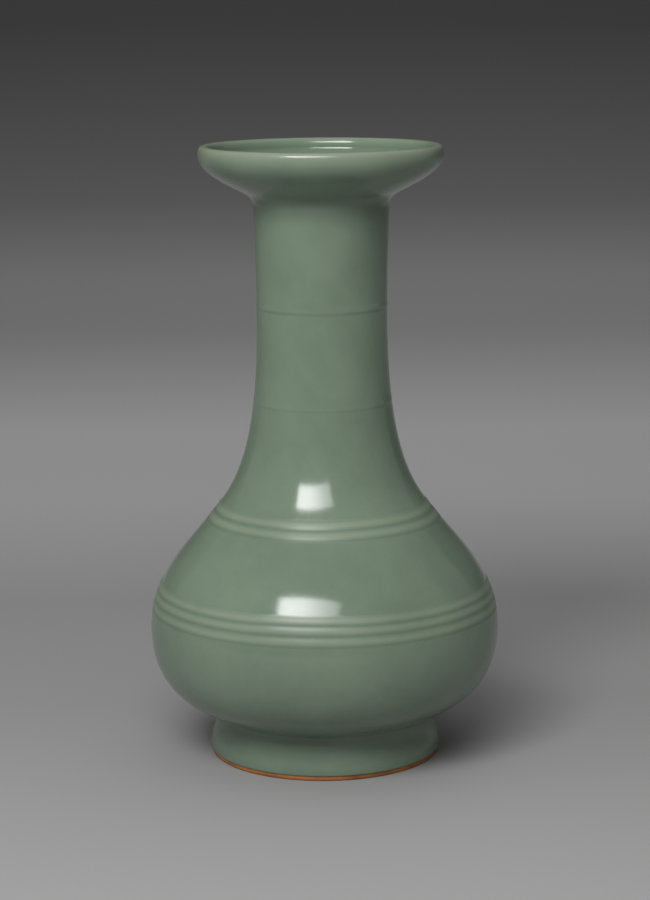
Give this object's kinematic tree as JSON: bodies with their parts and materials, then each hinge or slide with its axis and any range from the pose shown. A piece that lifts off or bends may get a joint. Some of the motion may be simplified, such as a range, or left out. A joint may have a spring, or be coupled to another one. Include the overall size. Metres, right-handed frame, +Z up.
{
  "type": "bamboo-joint vase",
  "caption": "Celadon vase with a squat round belly, a long neck jointed like bamboo, raised turned lines and a shallow dish mouth, on a bare-edged foot ring.",
  "frame": {"origin": "centre of the foot ring's resting face", "axes": "+Z up along the vase's axis; the vase is round, so X and Y are alike"},
  "size_m": [0.1718, 0.1718, 0.3],
  "materials": {
    "clay": "matt, under the glaze",
    "bare_clay": "matt, burnt orange where bare",
    "slip": "matt, inside the joints",
    "celadon": "gloss grey-green glaze"
  },
  "bodies": {
    "root": {"foot_ring": "bare_clay", "base_disc": "clay", "base_slip": "slip", "foot_slip": "slip", "lower_belly": "clay", "belly_slip": "slip", "upper_belly": "clay", "shoulder_slip": "slip", "lower_neck": "clay", "lower_joint_slip": "slip", "middle_neck": "clay", "upper_joint_slip": "slip", "upper_neck": "clay", "mouth_slip": "slip", "dish_mouth": "clay", "glaze_outside": "celadon", "glaze_inside": "celadon", "glaze_under_base": "celadon"}
  },
  "joints": []
}
